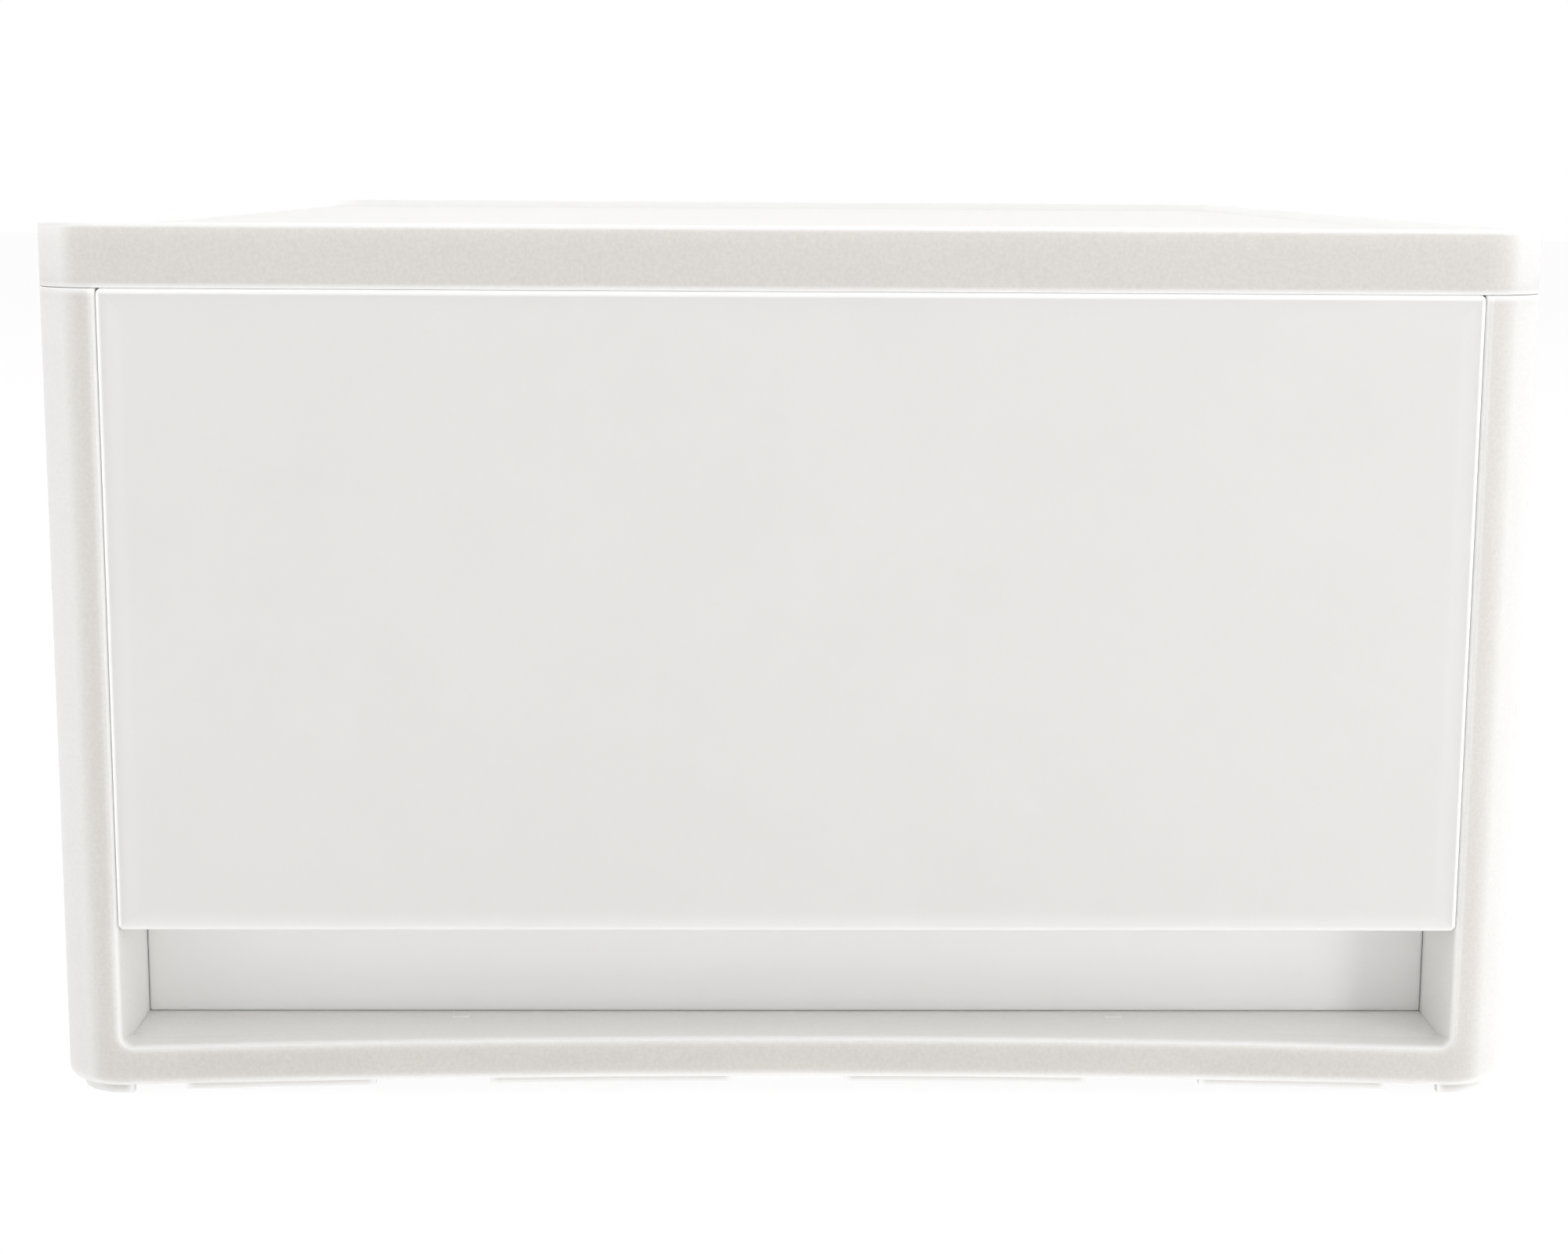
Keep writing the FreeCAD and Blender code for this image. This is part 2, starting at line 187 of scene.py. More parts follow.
# %% Cover shell
CASE_X, CASE_Y, CASE_TOP, CASE_CORNER = 130.0, 170.0, 154.0, 11.5
COVER_LOW, PANEL_LOW, FIELD_TOP, LAP_TOP = 143.0, 149.9, 152.1, 148.1
HEADER_X = 118.1


def cover_rings():
    """Rows of (inset, height) carried round a rounded rectangle; the second result is a painted highlight on
    the lip and the skirt's lower edge.
    """
    outside = rounded_line([(20, FIELD_TOP, 0), (6, FIELD_TOP, 0), (3.8, FIELD_TOP, 1.8),
                            (2.1, CASE_TOP, 0.5), (0, CASE_TOP, 1.0), (0, CASE_TOP - 1.1, 0),
                            (0, COVER_LOW + 1, 0), (0, COVER_LOW, 0.2), (0.9, COVER_LOW, 0)])
    lapped = rounded_line([(1.05, COVER_LOW, 0), (1.2, 143.4, 0), (1.2, LAP_TOP, 0), (2.4, LAP_TOP, 0),
                           (2.4, 149.4, 0), (3.0, PANEL_LOW, 0), (20, PANEL_LOW, 0)])
    thick = rounded_line([(2.2, COVER_LOW, 0), (2.4, 143.4, 0), (2.4, 145.5, 0), (2.4, LAP_TOP, 0),
                          (2.4, 149.4, 0), (3.0, PANEL_LOW, 0), (20, PANEL_LOW, 0)])
    # painted highlight: the lip's top and outer round and the skirt's lower edge are drawn lighter
    lip = np.where(outside[:, 0] > 1, np.interp(outside[:, 0], [3.0, 4.4], [1, 0]),
                   np.interp(outside[:, 1], [CASE_TOP - 0.8, CASE_TOP - 0.3], [0, 1]))
    foot = np.interp(outside[:, 1], [COVER_LOW + 0.3, COVER_LOW + 0.9], [0.6, 0])
    painted_edge = np.append(np.maximum(lip * (outside[:, 1] > COVER_LOW + 2), foot), np.zeros(len(lapped)))
    lapped, thick = np.concatenate([outside, lapped]), np.concatenate([outside, thick])
    edges = [-HEADER_X - 0.05, -HEADER_X, -40, 40, HEADER_X, HEADER_X + 0.05]
    inset = lapped[:, 0]
    x, y = rounded_rectangle(CASE_X - inset, CASE_Y - inset, np.maximum(CASE_CORNER - inset, 0.5),
                             extra=edges)
    inset = thick[:, 0]
    _, front_y = rounded_rectangle(CASE_X - inset, CASE_Y - inset, np.maximum(CASE_CORNER - inset, 0.5),
                                   extra=edges)
    header = (np.abs(x[0]) <= HEADER_X) & (y[0] < 0)
    y, z = np.where(header, front_y, y), np.where(header, thick[:, 1:], lapped[:, 1:])
    return np.stack([x, y, z], axis=-1), np.broadcast_to(painted_edge[:, None], x.shape)


cover_points, cover_painted_highlight = cover_rings()
cover_shell = skin("cover_shell", cover_points, values={"painted_light": cover_painted_highlight})

# %% [markdown]
# Under the panel a grid of thin ribs keeps it flat, and small lugs round the
# skirt snap into slots of the tub's rim. Each rib is thinner at its foot,
# the draft that lets it leave the tool. A rib is a stack of rings too, so it
# is the same kind of grid as the cover.

# %% Cover ribs and catches
def bar(low_corner, high_corner, draft=0.0, soft=0.25):
    """Rings up a block: soft lower edges, sides that widen upwards by the draft."""
    low, high = np.array(low_corner, dtype=float), np.array(high_corner, dtype=float)
    middle, half = (low + high) / 2, (high - low) / 2
    shrink = np.array([draft + soft, draft + soft * 0.3, draft, 0.0, soft * 0.3, soft])
    rise = np.array([0, soft * 0.3, soft])
    z = np.concatenate([low[2] + rise, high[2] - rise[::-1]])
    a, b = rounded_rectangle(half[0] - shrink, half[1] - shrink, np.full(6, soft), steps=3)
    return np.stack([middle[0] + a, middle[1] + b, np.broadcast_to(z[:, None], a.shape)], axis=-1)


def catch(x, y, inwards_x, inwards_y):
    """A lug 14 mm long and 1.4 mm high on the skirt, from 0.7 to 2.4 mm inside the outer face."""
    inwards = np.array([inwards_x, inwards_y])
    near, far = np.array([x, y]) + 0.7 * inwards, np.array([x, y]) + 2.4 * inwards
    along = 7.0 * np.abs(inwards[::-1])
    low, high = np.minimum(near, far) - along, np.maximum(near, far) + along
    return bar((*low, 144.8), (*high, 146.2), soft=0.3)


long_ribs = [bar((x - 0.8, -165.8, 147.5), (x + 0.8, 165.8, 151.0), draft=0.15) for x in (-65, 0, 65)]
cross_ribs = [bar((-125.8, y - 0.8, 147.5), (125.8, y + 0.8, 151.0), draft=0.15)
              for y in np.linspace(-170, 170, 7)[1:-1]]
cover_ribs = skin("cover_ribs", *long_ribs, *cross_ribs)
side_catches = [catch(sign * CASE_X, y, -sign, 0) for sign in (-1, 1) for y in (-85, 0, 85)]
back_catches = [catch(x, CASE_Y, 0, -1) for x in (-130 / 3, 130 / 3)]
cover_catches = skin("cover_catches", *side_catches, *back_catches)

# %% [markdown]
# ## The drawer's front
# The front is a plate with soft edges, moulded in one with the tray behind
# it. Where the tray's sides and ledge stand behind the plate, the cooling
# plastic draws in a little: a sink mark, three hundredths of a millimetre
# deep, that only shows as a faint line. The rings run inwards over the face,
# so the mark depends on the inset alone. A value on each point paints light
# into the colour: a painted highlight on the plate's edges and painted light
# over the walls behind the face.

# %% Drawer front
PLATE_X, PLATE_LOW, PLATE_TOP, PLATE_FACE, PLATE_BACK = 118.25, 30.7, 142.96, -169.7, -167.5
SINK_DEPTH = 0.03


def plate_grid():
    """A section of (inset, depth) rows carried round the plate's outline in the front view.

    The sink marks are bell curves of the inset, over the tray's side walls and its ledge.
    """
    back = rounded_line([(9, PLATE_BACK, 0), (1, PLATE_BACK, 0), (0, PLATE_BACK, 0.3),
                         (0, PLATE_FACE, 0.35), (0.8, PLATE_FACE, 0)])
    over_face = (1.1, 1.4, 1.8, 2.2, 2.6, 3.0, 3.4, 3.8, 4.2, 4.8, 6, 9)
    section = np.concatenate([back, [(inset, PLATE_FACE) for inset in over_face]])
    inset, depth = section[:, 0], section[:, 1]
    half_z = (PLATE_TOP - PLATE_LOW) / 2
    x, z = rounded_rectangle(PLATE_X - inset, half_z - inset, np.maximum(1.0 - inset, 0.03), steps=6)
    outline = np.argmin(inset)
    side, upper = np.abs(x[outline]) > PLATE_X - 0.05, z[outline] > half_z - 0.5
    under = z[outline] < -half_z + 0.5
    on_face = (depth <= PLATE_FACE + 0.01)[:, None]
    over_side = np.exp(-((inset - 2.8) / 0.8) ** 2)[:, None] * side
    over_ledge = np.exp(-((inset - 1.6) / 0.9) ** 2)[:, None] * (under & ~side)
    sink = SINK_DEPTH * on_face * (over_side + over_ledge)
    # painted light: the plate's edges, the top edge most, carry a painted highlight, and a faint band of
    # painted light lies over the side walls and the ledge behind the face
    painted_top_highlight = np.interp(inset, [0, 0.7, 1.0], [1.0, 1.0, 0.0])[:, None] * upper
    edge = np.interp(inset, [0, 0.35, 0.6], [1.0, 1.0, 0.0])[:, None] * np.where(under, 0.35, 1.0)
    ledge = np.interp(inset, [0, 2.2, 3.2], [0.2, 0.08, 0.0])[:, None] * (under & ~side)
    painted_wall_light = np.interp(inset, [1.3, 2.0, 3.6, 4.4], [0.0, 0.06, 0.06, 0.0])[:, None] * side
    tint = np.maximum.reduce([painted_top_highlight, edge, ledge, painted_wall_light])
    return np.stack([x, depth[:, None] + sink, z + PLATE_LOW + half_z], axis=-1), tint


plate_points, plate_painted_light = plate_grid()
drawer_front = skin("drawer_front", plate_points, values={"painted_light": plate_painted_light})

# %% [markdown]
# ## The drawer's tray
# The tray is one skin from the middle of its underside, up the outside, over
# the rim and down to the middle of its floor. Each ring is a rounded
# rectangle with its own front: low rings stop at the recess wall, 15 mm
# back, and the higher ones run forward over the ledge to the plate. The rim
# sweeps up to the plate's top over the last 16 mm, so the rim rings carry a
# height that depends on how far forward each point is.

# %% Drawer tray
TRAY_X, TRAY_LOW, TRAY_FACE, TRAY_REAR, RIM = 116.5, 11.15, -154.7, 164.0, 135.6
TRAY_FLOOR, TRAY_INSIDE, LEDGE_LOW, LEDGE_TOP = 13.6, -152.7, 30.75, 32.9
JOIN_OUTSIDE, JOIN_INSIDE = -167.9, -167.2
SWEEP_START, SWEEP_RISE = -151.5, 7.0
# where the side columns stand, from 0 at the rear to 1 in front, dense along the sweep
SIDE_SHARES = np.concatenate([[0.15, 0.4, 0.65, 0.85], 1 - np.linspace(0.065, 0.004, 14)])


def tray_ring(half, front, rear, front_radius, rear_radius, height, lift):
    """Rings with a front of their own; the points of a lifted ring rise ahead of the sweep's start.

    The columns run round the rear corners, forward along the left side, round
    the front corners and back along the right side. The rise is a hyperbola: it
    leaves the level rim softly and ends as a straight slope.
    """
    columns = [np.atleast_1d(v).astype(float)[:, None] for v in (half, front, rear, front_radius,
                                                                  rear_radius, height, lift)]
    half, front, rear, front_radius, rear_radius, height, lift = columns
    quarter, none = np.linspace(0, np.pi / 2, 7), np.zeros(len(SIDE_SHARES))
    turn = np.concatenate([quarter, quarter + np.pi / 2, none + np.pi, quarter + np.pi,
                           quarter + 1.5 * np.pi, none])
    share = np.concatenate([np.zeros(14), SIDE_SHARES, np.ones(14), SIDE_SHARES[::-1]])
    sign = np.repeat([1, -1, 1], [7, 14 + len(none), 7 + len(none)])
    radius = np.where(share > 0.5, front_radius, rear_radius)
    x = sign * (half - radius) + radius * np.cos(turn)
    y = (1 - share) * (rear - rear_radius) + share * (front + front_radius) + radius * np.sin(turn)
    ahead = np.clip((SWEEP_START - y) / (SWEEP_START - PLATE_BACK), 0, 1.03)
    rise = SWEEP_RISE * (np.sqrt(ahead ** 2 + 0.01) - 0.1) / (np.sqrt(1.01) - 0.1)
    return np.stack([x, y, height + lift * rise], axis=-1)


def tray_rows():
    """Rows of half width, front, rear, front radius, rear radius, height and lift, from below to inside."""
    outside = rounded_line([(-150, TRAY_LOW, 0), (TRAY_FACE, TRAY_LOW, 0.4), (TRAY_FACE, LEDGE_LOW, 2.6),
                            (JOIN_OUTSIDE, LEDGE_LOW, 0), (JOIN_OUTSIDE, 33, 0)])
    front, height = outside[:, 0], outside[:, 1]
    inset = np.where(height < TRAY_LOW + 0.4, np.clip(front - TRAY_FACE, 0, 0.4), 0.0)
    inset[0] = 4.7
    ahead = front < TRAY_FACE - 2.7
    front_radius = np.where(ahead, 0.1, np.maximum(0.5 - inset, 0.1))
    rows = [np.stack([TRAY_X - inset, front, TRAY_REAR - inset, front_radius, 6.0 - inset, height,
                      0 * front], axis=-1)]
    rim_inset = np.array([0, 0, 0, 0.15, 0.5, 1.5, 1.85, 2.0, 2.0])
    rim_height = np.array([60, 128, RIM - 0.5, RIM - 0.15, RIM, RIM, RIM - 0.15, RIM - 0.5, 128])
    rim_front = np.array([JOIN_OUTSIDE] * 5 + [JOIN_INSIDE] * 4)
    rows.append(np.stack([TRAY_X - rim_inset, rim_front, TRAY_REAR - rim_inset, 0.1 + 1.45 * rim_inset,
                          6.0 - rim_inset, rim_height, np.array([0, 0, 1, 1, 1, 1, 1, 1, 0.0])], axis=-1))
    inside = rounded_line([(JOIN_INSIDE, 60, 0), (JOIN_INSIDE, LEDGE_TOP, 0.5), (TRAY_INSIDE, LEDGE_TOP, 4.6),
                           (TRAY_INSIDE, TRAY_FLOOR, 3.0), (-146, TRAY_FLOOR, 0)])
    front, height = inside[:, 0], inside[:, 1]
    inset = np.where(height < TRAY_FLOOR + 3, np.clip(front - TRAY_INSIDE, 0, 6.7), 0.0)
    rows.append(np.stack([TRAY_X - 2 - inset, front, TRAY_REAR - 2 - inset, np.maximum(3.0 - inset, 0.1),
                          np.maximum(4.0 - inset, 0.1), height, 0 * front], axis=-1))
    return np.concatenate(rows)


tray_points = tray_ring(*tray_rows().T)
# every point of the tray carries half the painted light, so the whole tray, its recess wall too, is drawn
# lighter than the plate's face
drawer_tray = skin("drawer_tray", tray_points, values={"painted_light": np.full(tray_points.shape[:2], 0.5)})

# %% [markdown]
# A bead stiffens the rim: a thick bar that runs back along one side, round
# the rear and forward again. It is a small rounded section carried along
# that open path, so here the rows follow the path and the columns go round
# the section. Two stops stand on it towards the rear, and come up to the
# cover's front band when the drawer is fully out.

# %% Rim bead and stops
BEAD_X, BEAD_Z = 117.95, 134.6


def bead_rings():
    """At each point of the path, the section stands on the outward normal and on the height."""
    side, rear, radius = BEAD_X, 165.75, 7.75
    turn = np.linspace(0, np.pi / 2, 9)
    outwards = np.stack([np.cos(turn), np.sin(turn)], axis=-1)
    right = np.stack([np.full(5, side), np.linspace(-168.4, rear - radius - 5, 5)], axis=-1)
    half_path = np.concatenate([right, [side - radius, rear - radius] + radius * outwards])
    half_normal = np.concatenate([np.tile([1.0, 0.0], (5, 1)), outwards])
    path = np.concatenate([half_path, half_path[::-1] * [-1, 1]])
    normal = np.concatenate([half_normal, half_normal[::-1] * [-1, 1]])
    half_deep, half_high = 1.925, 1.3
    inset, height = rounded_rectangle([half_deep], [half_high], [0.45], steps=5)
    inset, height = inset[0] + half_deep, height[0] + BEAD_Z
    spots = path[:, None] - inset[None, :, None] * normal[:, None]
    return np.concatenate([spots, np.broadcast_to(height[:, None], spots[..., :1].shape)], axis=-1)


def stop_rings(sign):
    """The stop's outline in the side view, carried across its width with soft ends."""
    outline = rounded_line([(90, BEAD_Z, 0), (82.7, BEAD_Z, 0.5), (82.7, 146.5, 0.6), (88.7, 146.5, 0.8),
                            (94.7, BEAD_Z, 0.5), (90, BEAD_Z, 0)])[:-1]
    middle = np.array([88.7, 140.5])
    across = np.array([BEAD_X - 3.0, BEAD_X - 2.8, BEAD_X - 0.2, BEAD_X]) * sign
    size = np.array([0.96, 1.0, 1.0, 0.96])[:, None, None]
    spots = middle + (outline - middle) * size
    return np.concatenate([np.broadcast_to(across[:, None, None], spots[..., :1].shape), spots], axis=-1)


drawer_bead = skin("drawer_bead", bead_rings())
drawer_stops = skin("drawer_stops", stop_rings(-1), stop_rings(1))

# %% [markdown]
# ## Colours and nodes
# Colours are written as sRGB hex, as a paint chart gives them. Shaders work
# in linear light, so one function turns hex to linear. A second small
# function adds a shader node with its settings and its links.

# %% Helpers for materials
def linear(hex_colour):
    """sRGB hex to linear RGBA: values over 0.04045 follow the 2.4 power curve."""
    srgb = np.array([int(hex_colour[i:i + 2], 16) for i in (1, 3, 5)]) / 255
    rgb = np.where(srgb > 0.04045, ((srgb + 0.055) / 1.055) ** 2.4, srgb / 12.92)
    return (*rgb.tolist(), 1.0)


def add_node(tree, kind, inputs=None, **settings):
    """Adds a node, sets its own settings, and fills or links its inputs."""
    made = tree.nodes.new(kind)
    for name, value in settings.items():
        setattr(made, name, value)
    for name, value in (inputs or {}).items():
        if isinstance(value, bpy.types.NodeSocket):
            tree.links.new(value, made.inputs[name])
        else:
            made.inputs[name].default_value = value
    return made


def new_material(name):
    """An empty node material and its tree."""
    material = bpy.data.materials.new(name)
    material.use_nodes = True
    material.node_tree.nodes.clear()
    return material, material.node_tree


print("sRGB #808080 is", round(linear("#808080")[0], 3), "in linear light")

# %% [markdown]
# ## Painted edge highlights
# The edges of the pale plastic are drawn lighter than its faces: a painted
# highlight for the light that the rounded edges catch. The imported tub
# carries no value on its points, so its material sends short rays inwards
# and sees how many leave. The new pieces carry a value on their points
# instead, because rays would also find the ribs and the lapped wall behind
# the cover's face.

# %% Painted edge highlights
HIGHLIGHT_REACH = 1.5 * MM


def painted_highlight_by_rays(tree):
    """Mask of the painted highlight: rays sent inwards leave again within the reach near an edge, 0 on a
    face, 1 on an edge.
    """
    inwards = add_node(tree, "ShaderNodeAmbientOcclusion", {"Distance": HIGHLIGHT_REACH}, inside=True, samples=8)
    return add_node(tree, "ShaderNodeMapRange", {"Value": inwards.outputs["AO"], "From Min": 0.95,
                                                 "From Max": 0.5}).outputs["Result"]


def painted_light_by_point(tree):
    """The painted light that a new piece's points carry."""
    return add_node(tree, "ShaderNodeAttribute", attribute_name="painted_light").outputs["Fac"]


print("the tub's edges look lighter within", round(HIGHLIGHT_REACH / MM, 2), "mm")

# %% [markdown]
# ## The case's plastic
# Both plastics are taken to be polypropylene, the usual one for such boxes.
# The case is filled white, and its fine matt grain is what a spark-eroded
# tool leaves. Its edges carry a painted highlight, and light scattered inside
# would blur that pale line away, so the scattering fades there.
# The case's front faces are drawn warmer and darker than its rounds, top and
# recess: painted shade that follows the direction of a face, for the weaker
# light from the front. It is a fit to the picture.

# %% Case plastic
def case_plastic(name, painted_edge):
    """Opaque white moulding with a fine grain over clouds 35 mm wide.

    The grain is drawn 0.6 mm wide, because a real one of about 0.1 mm is too fine to show.
    """
    material, tree = new_material(name)
    coordinates = add_node(tree, "ShaderNodeTexCoord")
    place = coordinates.outputs["Object"]
    grain = add_node(tree, "ShaderNodeTexNoise", {"Vector": place, "Scale": 1 / (0.6 * MM), "Detail": 2.0})
    cloud = add_node(tree, "ShaderNodeTexNoise", {"Vector": place, "Scale": 1 / (35 * MM), "Detail": 1.0})
    both = add_node(tree, "ShaderNodeMath", {0: cloud.outputs["Fac"], 1: 0.12, 2: grain.outputs["Fac"]},
                    operation="MULTIPLY_ADD")
    share = add_node(tree, "ShaderNodeMapRange", {"Value": both.outputs[0], "From Min": 0.26,
                                                  "From Max": 0.86})
    # painted shade: the darker, warmer colour that the front-facing faces take for the weaker light from the
    # front
    front_painted_shade = add_node(tree, "ShaderNodeMix", {"Factor": share.outputs["Result"], "A": linear("#D3D0CC"),
                                            "B": linear("#DDDAD6")}, data_type="RGBA")
    plain = add_node(tree, "ShaderNodeMix", {"Factor": share.outputs["Result"], "A": linear("#E5E4E2"),
                                             "B": linear("#EBEAE8")}, data_type="RGBA")
    # faces that look towards -Y take the painted shade
    normal = add_node(tree, "ShaderNodeSeparateXYZ", {"Vector": coordinates.outputs["Normal"]})
    front = add_node(tree, "ShaderNodeMapRange", {"Value": normal.outputs["Y"], "From Min": -0.85,
                                                  "From Max": -0.99}, interpolation_type="SMOOTHSTEP")
    tint = add_node(tree, "ShaderNodeMix", {"Factor": front.outputs["Result"], "A": plain.outputs["Result"],
                                            "B": front_painted_shade.outputs["Result"]}, data_type="RGBA")
    # painted highlight: near an edge the colour is mixed towards near-white, and the scattering fades there
    edge = painted_edge(tree)
    depth = add_node(tree, "ShaderNodeMath", {0: 1.0, 1: edge}, operation="SUBTRACT")
    light = add_node(tree, "ShaderNodeMix", {"Factor": edge, "A": tint.outputs["Result"],
                                             "B": linear("#FCFCFB")}, data_type="RGBA")
    bump = add_node(tree, "ShaderNodeBump", {"Height": grain.outputs["Fac"], "Strength": 0.15,
                                             "Distance": 0.1 * MM})
    shine = add_node(tree, "ShaderNodeMapRange", {"Value": grain.outputs["Fac"], "To Min": 0.42,
                                                  "To Max": 0.58})
    shader = add_node(tree, "ShaderNodeBsdfPrincipled",
                      {"Base Color": light.outputs["Result"], "Normal": bump.outputs["Normal"],
                       "Roughness": shine.outputs["Result"], "IOR": 1.49,
                       "Subsurface Weight": depth.outputs[0], "Subsurface Radius": (1.0, 1.0, 1.0),
                       "Subsurface Scale": 3 * MM})
    add_node(tree, "ShaderNodeOutputMaterial", {"Surface": shader.outputs["BSDF"]})
    return material


tub_plastic = case_plastic("spark_textured_white_polypropylene", painted_highlight_by_rays)
cover_plastic = case_plastic("spark_textured_white_polypropylene_cover", painted_light_by_point)
print(tub_plastic.name, "has", len(tub_plastic.node_tree.nodes), "nodes")

# %% [markdown]
# ## The drawer's plastic
# The drawer has little filler: it is milky, and light goes some way into
# it. Its skin is satin, as a finely polished tool leaves it, with a ripple
# that only shows where a lamp is mirrored. Its edges and the walls behind
# the front are drawn lighter: a painted highlight on the edges and painted
# light over the walls.

# %% Drawer plastic
def drawer_plastic():
    """Milky moulding: a smooth satin skin, faint clouds 18 mm wide, and painted light where the points carry
    it.
    """
    material, tree = new_material("milky_natural_polypropylene")
    place = add_node(tree, "ShaderNodeTexCoord").outputs["Object"]
    cloud = add_node(tree, "ShaderNodeTexNoise", {"Vector": place, "Scale": 1 / (18 * MM), "Detail": 2.0})
    milk = add_node(tree, "ShaderNodeMix", {"Factor": cloud.outputs["Fac"], "A": linear("#E1E0DE"),
                                            "B": linear("#E4E3E1")}, data_type="RGBA")
    # painted light: the colour goes towards near-white where the points carry it, on edges and over the walls
    # behind the front
    edge = add_node(tree, "ShaderNodeAttribute", attribute_name="painted_light")
    tint = add_node(tree, "ShaderNodeMix", {"Factor": edge.outputs["Fac"], "A": milk.outputs["Result"],
                                            "B": linear("#FDFDFC")}, data_type="RGBA")
    depth = add_node(tree, "ShaderNodeMath", {0: 1.0, 1: edge.outputs["Fac"]}, operation="SUBTRACT")
    ripple = add_node(tree, "ShaderNodeTexNoise", {"Vector": place, "Scale": 1 / (1.2 * MM), "Detail": 1.0})
    bump = add_node(tree, "ShaderNodeBump", {"Height": ripple.outputs["Fac"], "Strength": 0.05,
                                             "Distance": 0.05 * MM})
    shader = add_node(tree, "ShaderNodeBsdfPrincipled",
                      {"Base Color": tint.outputs["Result"], "Normal": bump.outputs["Normal"],
                       "Roughness": 0.35, "IOR": 1.49, "Subsurface Weight": depth.outputs[0],
                       "Subsurface Radius": (1.0, 1.0, 1.0), "Subsurface Scale": 3 * MM})
    add_node(tree, "ShaderNodeOutputMaterial", {"Surface": shader.outputs["BSDF"]})
    return material


milky_plastic = drawer_plastic()
print(milky_plastic.name, "has", len(milky_plastic.node_tree.nodes), "nodes")

# %% [markdown]
# ## Pieces and bodies
# A new piece rides on the body that carries it, so that the drawer's pieces
# slide with the drawer. It also wears its material, and the imported solid
# that it stands in for is hidden. The imported tub already has its rounds
# and ribs, so it stays and only takes the new plastic.

# %% Dress the pieces and tie them to the frame
def dress(obj, material):
    """Every slot of the object takes this material."""
    if not obj.material_slots:
        obj.data.materials.append(material)
    for slot in obj.material_slots:
        slot.material = material


PIECES = {
    "top_cover": ("case", "cover_plastic", cover_plastic, [cover_shell, cover_ribs, cover_catches]),
    "drawer": ("drawer_body", "drawer_plastic", milky_plastic,
               [drawer_front, drawer_tray, drawer_bead, drawer_stops]),
}
for node, (body, slot_name, material, pieces) in PIECES.items():
    for piece in pieces:
        dress(piece, material)
        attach(piece, body)
        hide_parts(node)
    print(node, "is shown by", [piece.name for piece in pieces])
dress(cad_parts["case_tub"], tub_plastic)

# %% [markdown]
# ## The floor
# The box stands on a pale floor that runs far out. The camera sees the floor
# as nearly white, and the last tenth comes from the paper under the lamps,
# so the box keeps its soft shadow. From below the floor is clear, so that
# the underside can be looked at.

# %% Floor
def floor_material():
    """White paper with a faint glow of its own; nine tenths of what is seen is plain white."""
    material, tree = new_material("pale_studio_floor")
    path = add_node(tree, "ShaderNodeLightPath")
    facing = add_node(tree, "ShaderNodeNewGeometry")
    seen = add_node(tree, "ShaderNodeMath", {0: path.outputs["Is Camera Ray"],
                                             1: path.outputs["Is Glossy Ray"]}, operation="MAXIMUM")
    share = add_node(tree, "ShaderNodeMath", {0: seen.outputs[0], 1: 0.9}, operation="MULTIPLY")
    paper = add_node(tree, "ShaderNodeBsdfDiffuse", {"Color": linear("#F4F4F4")})
    table = add_node(tree, "ShaderNodeEmission", {"Color": (1, 1, 1, 1), "Strength": 0.3})
    lit = add_node(tree, "ShaderNodeAddShader", {0: paper.outputs[0], 1: table.outputs[0]})
    white = add_node(tree, "ShaderNodeEmission", {"Color": (1, 1, 1, 1), "Strength": 1.0})
    shown = add_node(tree, "ShaderNodeMixShader", {0: share.outputs[0], 1: lit.outputs[0],
                                                   2: white.outputs[0]})
    clear = add_node(tree, "ShaderNodeBsdfTransparent")
    one_sided = add_node(tree, "ShaderNodeMixShader", {0: facing.outputs["Backfacing"],
                                                       1: shown.outputs[0], 2: clear.outputs[0]})
    add_node(tree, "ShaderNodeOutputMaterial", {"Surface": one_sided.outputs[0]})
    return material


FLOOR_REACH = 6.0
floor_corners = [(a * FLOOR_REACH, b * FLOOR_REACH, 0) for a, b in ((-1, -1), (1, -1), (1, 1), (-1, 1))]
floor_mesh = bpy.data.meshes.new("studio_floor")
floor_mesh.from_pydata(floor_corners, [], [(0, 1, 2, 3)])
studio_floor = bpy.data.objects.new("studio_floor", floor_mesh)
studio_floor.data.materials.append(floor_material())
bpy.context.scene.collection.objects.link(studio_floor)
print("the floor is", 2 * FLOOR_REACH, "m wide")

# %% [markdown]
# ## The light
# A wide bright surround lights from the right, the front and the back: a
# world that glows by direction, and that the camera sees as plain white. A
# strip on each side lights the rounds, three lamps above light the cover and
# the sill under the drawer, and a small low lamp lifts the right end of the
# rail. A fit of single lights to the picture's tones gave the first powers,
# and trial renders set beside the picture then changed them.

# %% Surround and lamps
TENT = {"left": 0.1, "right": 0.6, "front": 0.53, "back": 1.15}
FACING = {"left": ("X", -1), "right": ("X", 1), "front": ("Y", -1), "back": ("Y", 1)}


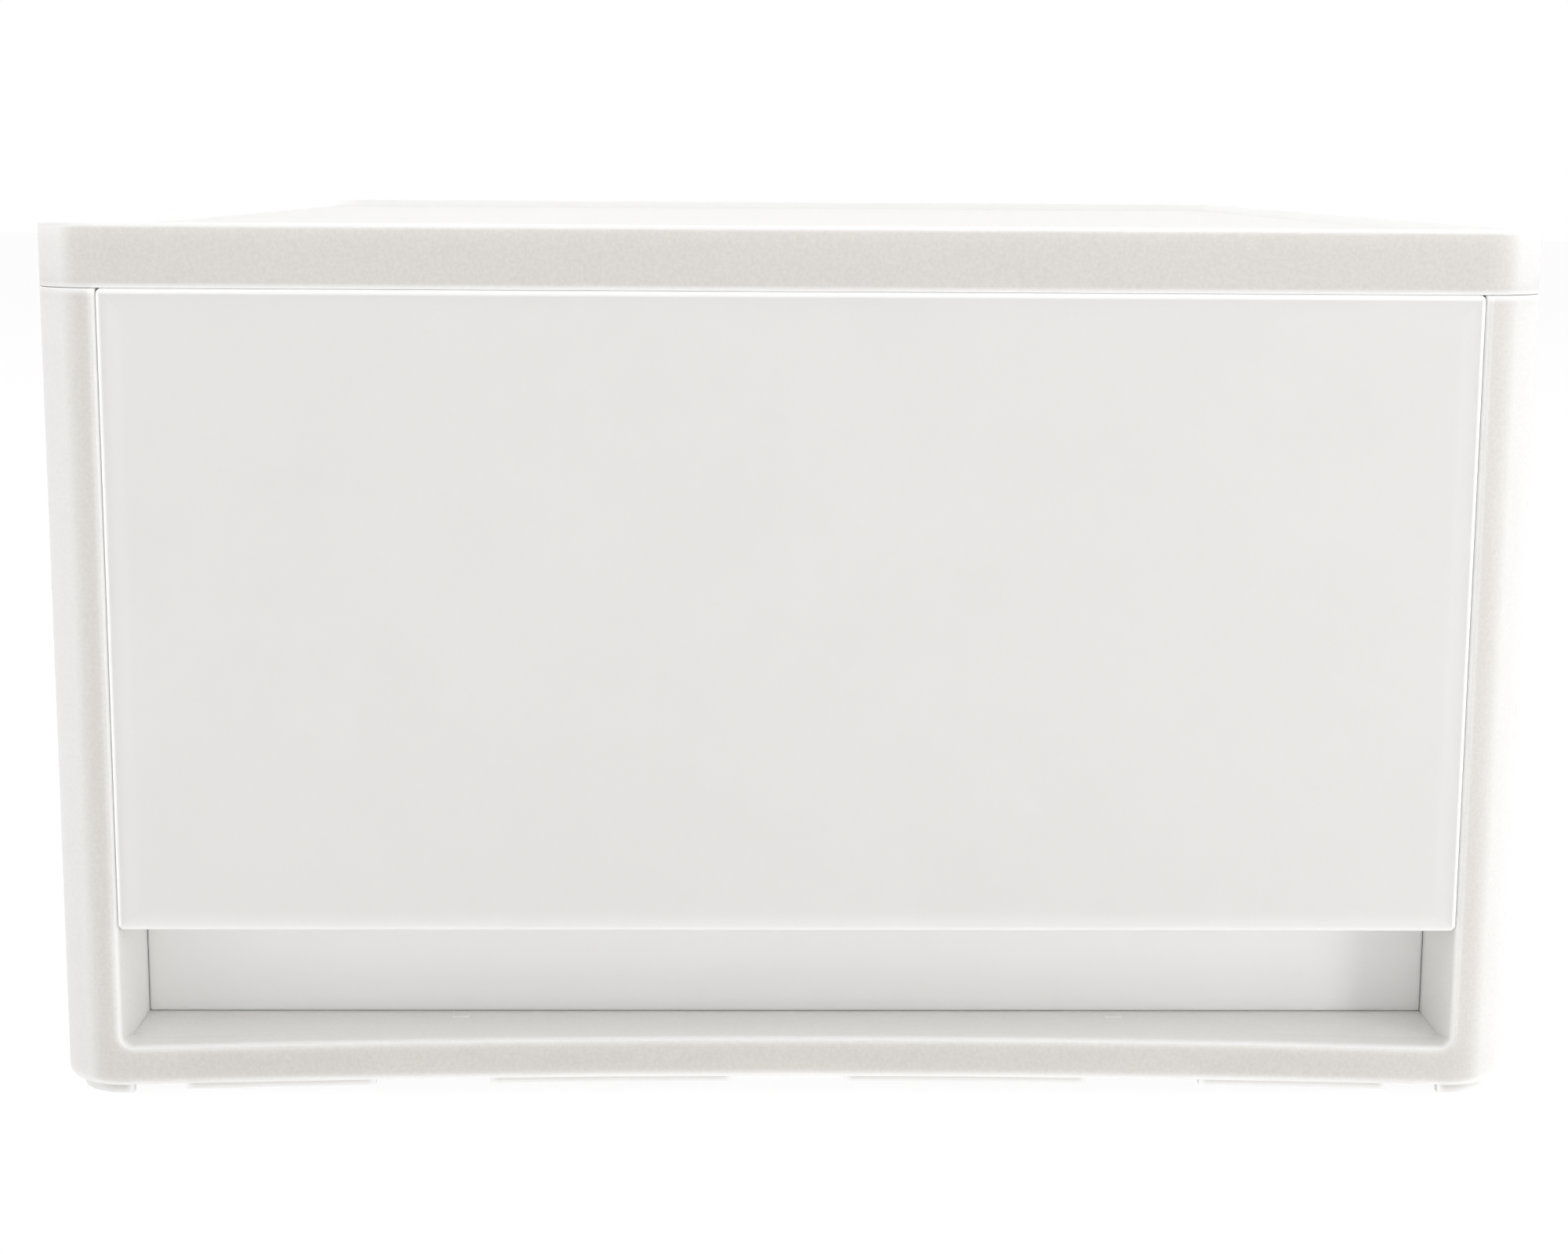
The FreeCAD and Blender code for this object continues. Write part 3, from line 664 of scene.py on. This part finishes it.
def light_tent():
    """A world whose glow depends on the direction, seen as plain white by the camera."""
    world = bpy.data.worlds.new("light_tent")
    bpy.context.scene.world = world
    world.use_nodes = True
    tree = world.node_tree
    tree.nodes.clear()
    way = add_node(tree, "ShaderNodeTexCoord").outputs["Generated"]
    split = add_node(tree, "ShaderNodeSeparateXYZ", {"Vector": way})
    total = 0.0
    for side, (axis, sign) in FACING.items():
        share = add_node(tree, "ShaderNodeMath", {0: split.outputs[axis], 1: sign}, operation="MULTIPLY",
                         use_clamp=True)
        total = add_node(tree, "ShaderNodeMath", {0: share.outputs[0], 1: TENT[side], 2: total},
                         operation="MULTIPLY_ADD").outputs[0]
    path = add_node(tree, "ShaderNodeLightPath")
    tent = add_node(tree, "ShaderNodeBackground", {"Color": (1, 1, 1, 1), "Strength": total})
    plain = add_node(tree, "ShaderNodeBackground", {"Color": (1, 1, 1, 1), "Strength": 1.0})
    both = add_node(tree, "ShaderNodeMixShader", {0: path.outputs["Is Camera Ray"],
                                                  1: tent.outputs[0], 2: plain.outputs[0]})
    add_node(tree, "ShaderNodeOutputWorld", {"Surface": both.outputs[0]})


def softbox(name, place, target, size, power):
    """A rectangular area light that faces a target."""
    data = bpy.data.lights.new(name, "AREA")
    data.shape = "RECTANGLE"
    data.size, data.size_y = size
    data.energy = power
    lamp = bpy.data.objects.new(name, data)
    lamp.location = place
    lamp.rotation_euler = (Vector(target) - Vector(place)).to_track_quat("-Z", "Y").to_euler()
    bpy.context.scene.collection.objects.link(lamp)


MIDDLE = (0, -0.1, 0.07)
# each lamp has a place, a target, a size in metres and a power in watts
SOFTBOXES = {
    "left_strip": ((-1.8, -0.6, 0.30), MIDDLE, (2.4, 0.5), 7.6),
    "right_strip": ((1.8, -0.6, 0.30), MIDDLE, (2.4, 0.5), 1.5),
    "top_front": ((0, -0.7, 1.6), MIDDLE, (1.6, 0.8), 7.0),
    "top_back": ((0, 0.7, 1.6), MIDDLE, (1.6, 0.8), 10.5),
    "front_high": ((0, -1.15, 1.25), (0, -0.17, 0.03), (1.6, 0.5), 1.8),
    "low_right": ((0.8, -0.8, 0.05), (0.10, -0.17, 0.02), (0.2, 0.2), 2.4),
}
light_tent()
for name, settings in SOFTBOXES.items():
    softbox(name, *settings)
print("lamps in watts:", {name: settings[-1] for name, settings in SOFTBOXES.items()})

# %% [markdown]
# ## View
# The Standard view shows each colour as it is written.

# %% Finish
bpy.context.scene.view_settings.view_transform = "Standard"
